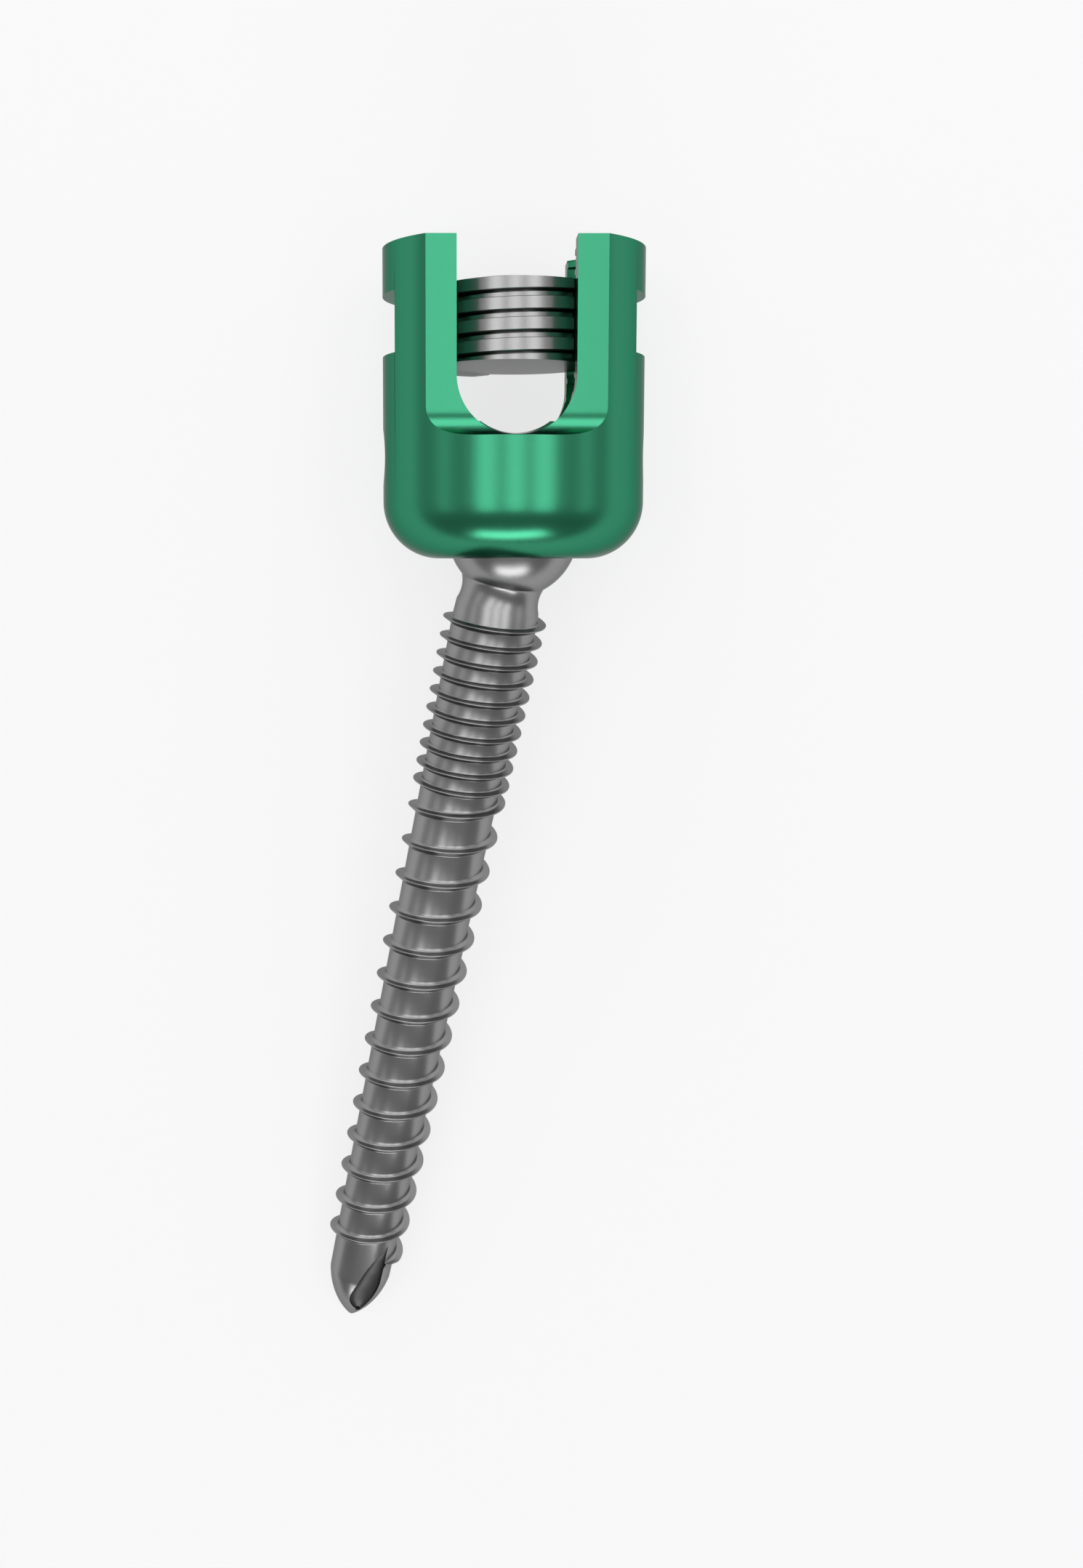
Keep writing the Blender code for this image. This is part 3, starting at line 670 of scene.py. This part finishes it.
def flute_cutter(around):
    """Lofts one cutting flute between its two edges, steep at the left one, its floor along the screw."""
    left = np.polynomial.Polynomial.fit(*np.transpose(FLUTE_LEFT), FLUTE_LEFT_DEGREE)
    right = np.polynomial.Polynomial.fit(*np.transpose(FLUTE_RIGHT), FLUTE_RIGHT_DEGREE)
    sections = []
    for s in np.linspace(FLUTE_START, FLUTE_END, FLUTE_SECTIONS):
        r = nose_radius(s) + TOUCH
        edges = (min(left(s), right(s) - FLUTE_LEAST), right(s))
        ends = [Vector((math.cos(a), math.sin(a), 0)) for a in (edge * DEG + around for edge in edges)]
        chord = (ends[1] - ends[0]) * r
        middle = (ends[0] + ends[1]) / 2
        depth = max(0.0, middle.length * r - np.interp(s, *np.transpose(FLUTE_FLOOR)))
        depth = min(depth, chord.length * FLUTE_DEPTH)
        floor = []
        for angle in np.linspace(0, math.pi, FLUTE_POINTS):
            along = ((1 - math.cos(angle)) / 2) ** FLUTE_SKEW
            floor.append(ends[0] * r + chord * along - middle.normalized() * depth * math.sin(angle))
        reach = r + min(FLUTE_REACH, TOUCH + (s - FLUTE_START) * FLUTE_REACH)
        outline = floor + [ends[1] * reach, ends[0] * reach]
        sections.append([(point.x, point.y, -s) for point in outline])
    return loft("flute", sections)


def oil_hole(around):
    """The small hole in which a flute ends, drilled at a right angle to the nose."""
    s, angle = OIL_HOLE_PLACE
    slope = (nose_radius(s + TOUCH) - nose_radius(s - TOUCH)) / (2 * TOUCH)
    out = Vector((math.cos(angle + around), math.sin(angle + around), 0))
    mouth = out * nose_radius(s) - Vector((0, 0, s))
    aim = (out + Vector((0, 0, slope))).normalized()
    reach = aim * OIL_HOLE_DEPTH
    return rod("hole", mouth + reach, mouth - reach, OIL_HOLE_RADIUS, HOLE_SIDES)


def metal(name, colour, rim, roughness):
    """Machined metal: its colour and roughness vary a little in a fine grain, with a shallow bump."""
    material = bpy.data.materials.new(name)
    material.use_nodes = True
    nodes, links = material.node_tree.nodes, material.node_tree.links
    shader = nodes["Principled BSDF"]
    shader.inputs["Metallic"].default_value = 1
    shader.inputs["Specular Tint"].default_value = (*rim, 1)
    where = nodes.new("ShaderNodeTexCoord")
    fine = nodes.new("ShaderNodeTexNoise")
    fine.inputs["Scale"].default_value = GRAIN_SCALE / MM
    fine.inputs["Detail"].default_value = GRAIN_DETAIL
    links.new(where.outputs["Object"], fine.inputs["Vector"])
    tint = nodes.new("ShaderNodeValToRGB")
    dark, light = tint.color_ramp.elements
    dark.color = (*[c * (1 - GRAIN) for c in colour], 1)
    light.color = (*[c * (1 + GRAIN) for c in colour], 1)
    dark.position = GRAIN_LOW
    light.position = GRAIN_HIGH
    links.new(fine.outputs["Fac"], tint.inputs["Fac"])
    links.new(tint.outputs["Color"], shader.inputs["Base Color"])
    gloss = nodes.new("ShaderNodeMapRange")
    gloss.inputs["To Min"].default_value = roughness * (1 - ROUGHNESS_SPREAD)
    gloss.inputs["To Max"].default_value = roughness * (1 + ROUGHNESS_SPREAD)
    links.new(fine.outputs["Fac"], gloss.inputs["Value"])
    links.new(gloss.outputs["Result"], shader.inputs["Roughness"])
    bump = nodes.new("ShaderNodeBump")
    bump.inputs["Strength"].default_value = BUMP_STRENGTH
    bump.inputs["Distance"].default_value = BUMP_DISTANCE
    links.new(fine.outputs["Fac"], bump.inputs["Height"])
    links.new(bump.outputs["Normal"], shader.inputs["Normal"])
    return material


def sharpen_borders(ob):
    """Keeps the border between two finishes sharp, also where they meet at a flat angle."""
    work = bmesh.new()
    work.from_mesh(ob.data)
    for edge in work.edges:
        if len({face.material_index for face in edge.link_faces}) > 1:
            edge.smooth = False
    work.to_mesh(ob.data)
    work.free()


def place(ob, body, node, material):
    """Puts a piece made in the tulip's frame on its body, shades it and lets it stand for its CAD node.

    A piece without the material gets it all over. The bone screw already has it, beside the rougher finish of
    its milling, whose dark colour is painted shade in the flutes and holes.
    """
    if material.name not in ob.data.materials:
        ob.data.materials.clear()
        ob.data.materials.append(material)
    ob.data.shade_smooth()
    ob.data.set_sharp_from_angle(angle=SHARP)
    sharpen_borders(ob)
    even = ob.modifiers.new("even", "WEIGHTED_NORMAL")
    even.keep_sharp = True
    ob.data.transform(TULIP)
    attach(ob, body)
    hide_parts(node)


def direction(azimuth, elevation):
    """A direction in the part's frame, by its angles round the tulip from its front and up the tulip."""
    a, e = azimuth * DEG, elevation * DEG
    local = Vector((math.sin(a) * math.cos(e), -math.cos(a) * math.cos(e), math.sin(e)))
    return (TULIP.to_3x3() @ local).normalized()


def softbox(name, azimuth, elevation, width, height, radiance):
    """An area lamp that faces the head. Width and height are the angles it spans, in degrees."""
    lamp = bpy.data.lights.new(name, "AREA")
    lamp.shape = "RECTANGLE"
    lamp.size = 2 * LAMP_DISTANCE * math.tan(width * DEG / 2)
    lamp.size_y = 2 * LAMP_DISTANCE * math.tan(height * DEG / 2)
    lamp.energy = radiance * lamp.size * lamp.size_y * math.pi
    ob = bpy.data.objects.new(name, lamp)
    bpy.context.scene.collection.objects.link(ob)
    aim = direction(azimuth, elevation)
    up = TULIP.to_3x3().col[2].normalized()
    side = up.cross(aim).normalized()
    turn = Matrix((side, aim.cross(side), aim)).transposed().to_4x4()
    ob.matrix_world = Matrix.Translation(TARGET + aim * LAMP_DISTANCE) @ turn


def make_floor():
    """A pale floor with the object's shadow, shown nearly white to the camera and in reflections."""
    work = bmesh.new()
    bmesh.ops.create_grid(work, x_segments=1, y_segments=1, size=FLOOR_SIZE)
    floor = mesh_object("floor", work)
    material = bpy.data.materials.new("floor_white")
    material.use_nodes = True
    nodes, links = material.node_tree.nodes, material.node_tree.links
    shader = nodes["Principled BSDF"]
    shader.inputs["Base Color"].default_value = (FLOOR_COLOUR, FLOOR_COLOUR, FLOOR_COLOUR, 1)
    shader.inputs["Roughness"].default_value = FLOOR_ROUGHNESS
    shader.inputs["Specular IOR Level"].default_value = 0
    white = nodes.new("ShaderNodeEmission")
    rays = nodes.new("ShaderNodeLightPath")
    seen = rays.outputs["Is Camera Ray"]
    for kind in ("Is Glossy Ray", "Is Transmission Ray"):
        either = nodes.new("ShaderNodeMath")
        either.operation = "MAXIMUM"
        links.new(seen, either.inputs[0])
        links.new(rays.outputs[kind], either.inputs[1])
        seen = either.outputs[0]
    share = nodes.new("ShaderNodeMath")
    share.operation = "MULTIPLY"
    share.inputs[1].default_value = FLOOR_WHITE_SHARE
    links.new(seen, share.inputs[0])
    mix = nodes.new("ShaderNodeMixShader")
    links.new(share.outputs[0], mix.inputs["Fac"])
    links.new(shader.outputs[0], mix.inputs[1])
    links.new(white.outputs[0], mix.inputs[2])
    links.new(mix.outputs[0], nodes["Material Output"].inputs["Surface"])
    floor.data.materials.append(material)


def make_camera():
    """The photograph's camera, placed by the tulip."""
    camera = bpy.data.cameras.new("camera")
    camera.sensor_width = SENSOR
    camera.lens = FOCAL_PIXELS * SENSOR / FRAME_HEIGHT
    camera.shift_x = (FRAME_WIDTH / 2 - CENTRE_X) / FRAME_HEIGHT
    camera.clip_start = CLIP_START
    camera.clip_end = CLIP_END
    ob = bpy.data.objects.new("camera", camera)
    bpy.context.scene.collection.objects.link(ob)
    turn = Matrix.Rotation(90 * DEG - CAMERA_PITCH, 4, "X")
    yaw = Matrix.Rotation(-CAMERA_YAW, 4, "Z")
    at = TULIP @ yaw @ Vector(CAMERA_PLACE)
    rotation = TULIP.to_3x3().normalized() @ (yaw @ turn).to_3x3()
    ob.matrix_world = Matrix.Translation(at) @ rotation.to_4x4()
    bpy.context.scene.camera = ob


def make_world():
    """A plain studio, darker towards the bone screw's tip."""
    world = bpy.data.worlds.new("studio")
    bpy.context.scene.world = world
    world.use_nodes = True
    nodes, links = world.node_tree.nodes, world.node_tree.links
    where = nodes.new("ShaderNodeTexCoord")
    height = nodes.new("ShaderNodeVectorMath")
    height.operation = "DOT_PRODUCT"
    height.inputs[1].default_value = direction(0, 90)
    links.new(where.outputs["Generated"], height.inputs[0])
    level = nodes.new("ShaderNodeMapRange")
    level.interpolation_type = "SMOOTHSTEP"
    level.inputs["From Min"].default_value = WORLD_LOW_END
    level.inputs["From Max"].default_value = WORLD_HIGH_END
    level.inputs["To Min"].default_value = WORLD_LOW
    level.inputs["To Max"].default_value = WORLD_HIGH
    links.new(height.outputs["Value"], level.inputs["Value"])
    nodes["Background"].inputs["Color"].default_value = (1, 1, 1, 1)
    links.new(level.outputs["Result"], nodes["Background"].inputs["Strength"])


TULIP = tulip_matrix()
SHANK = shank_matrix()
TARGET = TULIP @ Vector((0, 0, BALL_HEIGHT))

make_camera()
green = metal("anodised_green", GREEN, GREEN_RIM, GREEN_ROUGHNESS)
grey = metal("titanium", GREY, GREY_RIM, GREY_ROUGHNESS)
bright = metal("titanium_bright", GREY, GREY_RIM, BRIGHT_ROUGHNESS)
# The finish of the flutes and holes, its colour darkened as painted shade
milled_shaded = metal("titanium_milled_shaded", MILLED_SHADED, GREY_RIM, MILLED_ROUGHNESS)
place(make_tulip(), "tulip", "tulip", green)
place(make_crown(), "crown", "crown", grey)
place(make_set_screw(), "set_screw", "set_screw", bright)
place(make_bone_screw(grey, milled_shaded), "bone_screw", "bone_screw", grey)

for lamp_name, lamp_values in LAMPS.items():
    softbox(lamp_name, *lamp_values)
make_world()
make_floor()
bpy.context.scene.view_settings.view_transform = "Standard"
bpy.context.view_layer.update()
